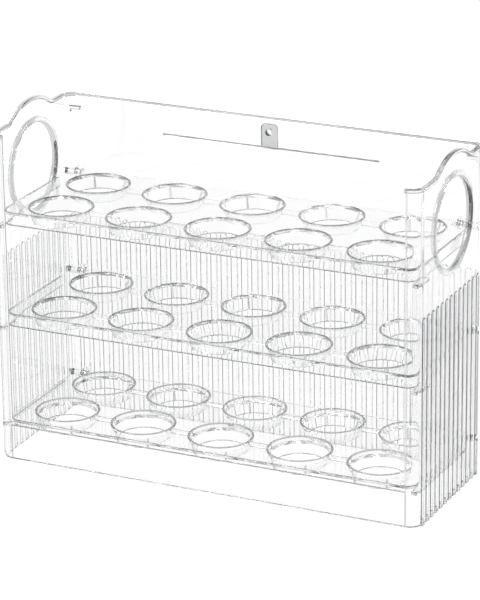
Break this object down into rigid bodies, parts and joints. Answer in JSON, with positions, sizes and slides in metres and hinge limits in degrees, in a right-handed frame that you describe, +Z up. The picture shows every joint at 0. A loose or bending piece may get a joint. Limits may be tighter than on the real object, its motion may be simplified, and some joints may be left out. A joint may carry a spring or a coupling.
{
  "type": "flip-tray egg rack",
  "caption": "Clear plastic open-front egg rack for a refrigerator, with flip-up egg-cup trays stacked in tiers and finger rings in its sides.",
  "frame": {"origin": "centre of the base on the surface the rack stands on", "axes": "+X to the rack's right seen from the front, +Y towards its back wall, +Z up; the open front faces -Y"},
  "size_m": [0.2652, 0.0962, 0.2046],
  "materials": {
    "housing_plastic": "clear, polished, reeded below",
    "tray_plastic": "clear, polished",
    "pin_plastic": "clear, polished"
  },
  "bodies": {
    "housing": {"housing": "housing_plastic"},
    "tray_bottom": {"tray_bottom": "tray_plastic", "tray_bottom_pin_left": "pin_plastic", "tray_bottom_pin_right": "pin_plastic"},
    "tray_middle": {"tray_middle": "tray_plastic", "tray_middle_pin_left": "pin_plastic", "tray_middle_pin_right": "pin_plastic"},
    "tray_top": {"tray_top": "tray_plastic", "tray_top_pin_left": "pin_plastic", "tray_top_pin_right": "pin_plastic"}
  },
  "joints": [
    {"name": "tray_bottom_flip", "type": "hinge", "parent": "housing", "child": "tray_bottom", "pos_m": [0, 0.0401, 0.0226], "axis": [-1, 0, 0], "range_deg": [0, 40]},
    {"name": "tray_middle_flip", "type": "hinge", "parent": "housing", "child": "tray_middle", "pos_m": [0, 0.0401, 0.0882], "axis": [-1, 0, 0], "range_deg": [0, 38]},
    {"name": "tray_top_flip", "type": "hinge", "parent": "housing", "child": "tray_top", "pos_m": [0, 0.0401, 0.1497], "axis": [-1, 0, 0], "range_deg": [0, 90]}
  ]
}
